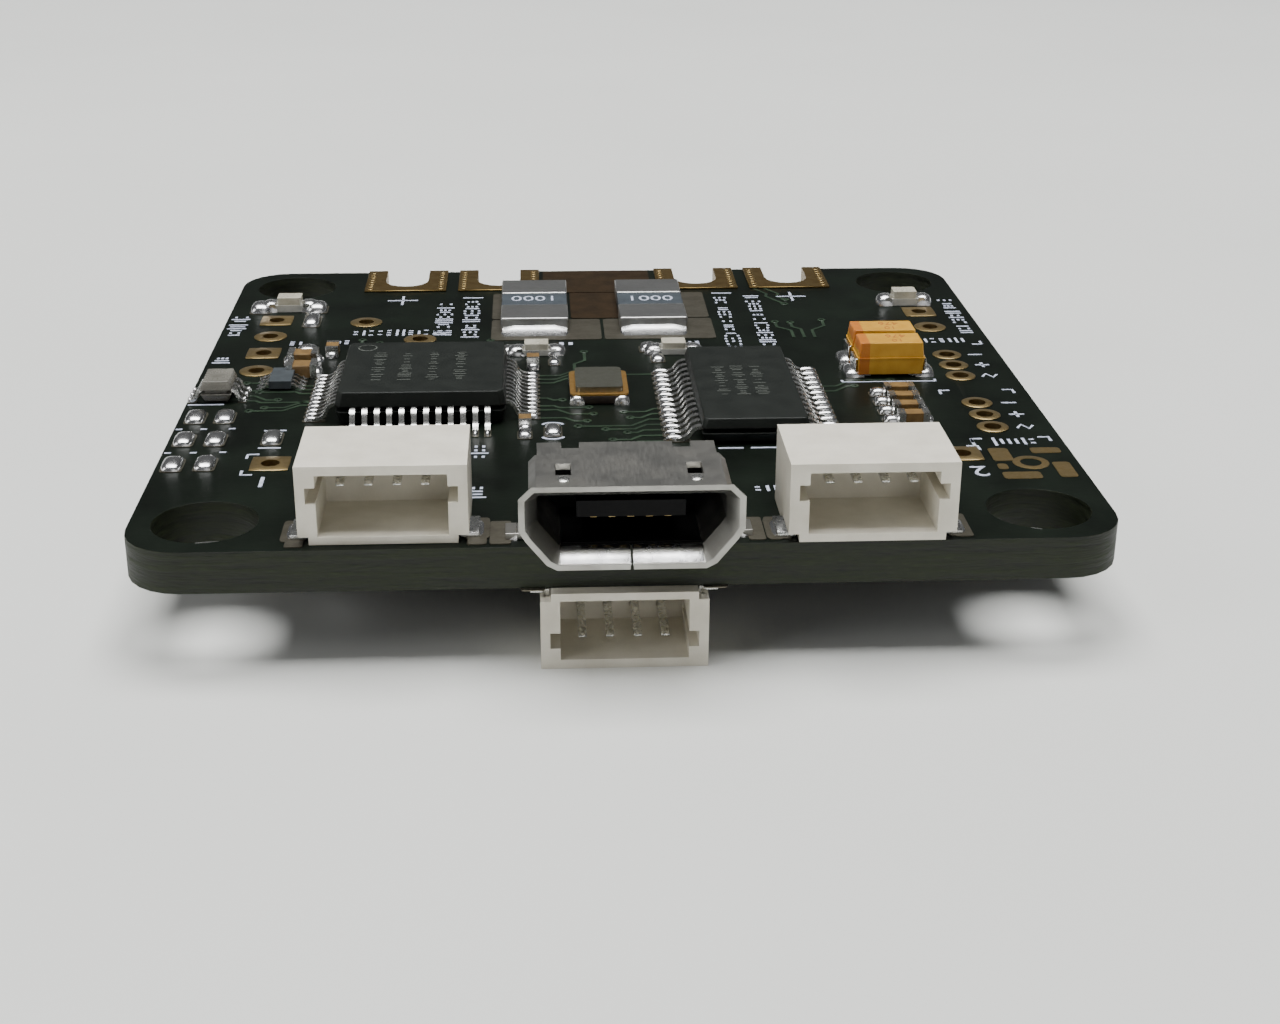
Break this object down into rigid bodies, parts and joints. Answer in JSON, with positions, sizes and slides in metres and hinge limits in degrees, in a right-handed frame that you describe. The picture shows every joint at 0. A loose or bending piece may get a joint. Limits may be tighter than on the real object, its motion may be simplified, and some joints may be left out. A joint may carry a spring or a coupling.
{
  "type": "flight control and power board",
  "caption": "Square black control and power board with corner mounting holes, edge-notched power pads, current shunts, side-entry wire headers and a micro-USB socket.",
  "frame": {"origin": "middle of the whole part's bounding box in X and Y, at its lowest point: the underside of the lower header and of the inductor", "axes": "+Z out of the board's component face, -Y out of the USB socket and headers, +X to the right seen from the socket edge"},
  "size_m": [0.036, 0.0376, 0.0075],
  "materials": {
    "solder_mask": "satin solder mask over glass-epoxy laminate",
    "pad_gold": "gold-plated copper",
    "ivory_nylon": "satin nylon",
    "contact_tin": "bright tin plating",
    "usb_steel": "satin nickel-plated sheet",
    "black_nylon": "satin",
    "chip_mould": "fine matt moulding",
    "crystal_ceramic": "ceramic with a gold seal ring",
    "crystal_lid": "dull nickel",
    "shunt_metal": "dull tin over resistance alloy",
    "shunt_coat": "matt slate coating",
    "tantalum_mould": "satin orange moulding",
    "led_body": "milky resin",
    "grey_mould": "fine matt moulding",
    "ceramic_tan": "satin fired ceramic",
    "inductor_grey": "matt pressed powder"
  },
  "bodies": {
    "root": {"circuit_board": "solder_mask", "power_pad_1": "pad_gold", "power_pad_2": "pad_gold", "power_pad_3": "pad_gold", "power_pad_4": "pad_gold", "header_left_housing": "ivory_nylon", "header_left_contact_1": "contact_tin", "header_left_contact_2": "contact_tin", "header_left_contact_3": "contact_tin", "header_left_contact_4": "contact_tin", "header_left_tab_a": "contact_tin", "header_left_tab_b": "contact_tin", "header_right_housing": "ivory_nylon", "header_right_contact_1": "contact_tin", "header_right_contact_2": "contact_tin", "header_right_contact_3": "contact_tin", "header_right_contact_4": "contact_tin", "header_right_tab_a": "contact_tin", "header_right_tab_b": "contact_tin", "header_lower_housing": "ivory_nylon", "header_lower_contact_1": "contact_tin", "header_lower_contact_2": "contact_tin", "header_lower_contact_3": "contact_tin", "header_lower_contact_4": "contact_tin", "header_lower_tab_a": "contact_tin", "header_lower_tab_b": "contact_tin", "usb_shell": "usb_steel", "usb_insulator": "black_nylon", "usb_contact_1": "contact_tin", "usb_contact_2": "contact_tin", "usb_contact_3": "contact_tin", "usb_contact_4": "contact_tin", "usb_contact_5": "contact_tin", "controller_case": "chip_mould", "controller_leads": "contact_tin", "display_chip_case": "chip_mould", "display_chip_leads": "contact_tin", "driver_case": "grey_mould", "driver_leads": "contact_tin", "crystal_base": "crystal_ceramic", "crystal_lid": "crystal_lid", "shunt_left_strip": "shunt_metal", "shunt_left_coat": "shunt_coat", "shunt_right_strip": "shunt_metal", "shunt_right_coat": "shunt_coat", "tantalum_front_body": "tantalum_mould", "tantalum_front_anode": "contact_tin", "tantalum_front_cathode": "contact_tin", "tantalum_rear_body": "tantalum_mould", "tantalum_rear_anode": "contact_tin", "tantalum_rear_cathode": "contact_tin", "led_rear_left": "led_body", "led_rear_right": "led_body", "led_mid_left": "led_body", "led_mid_right": "led_body", "capacitor_a": "ceramic_tan", "capacitor_b": "ceramic_tan", "motion_sensor": "chip_mould", "buck_regulator": "chip_mould", "power_inductor": "inductor_grey"}
  },
  "joints": []
}
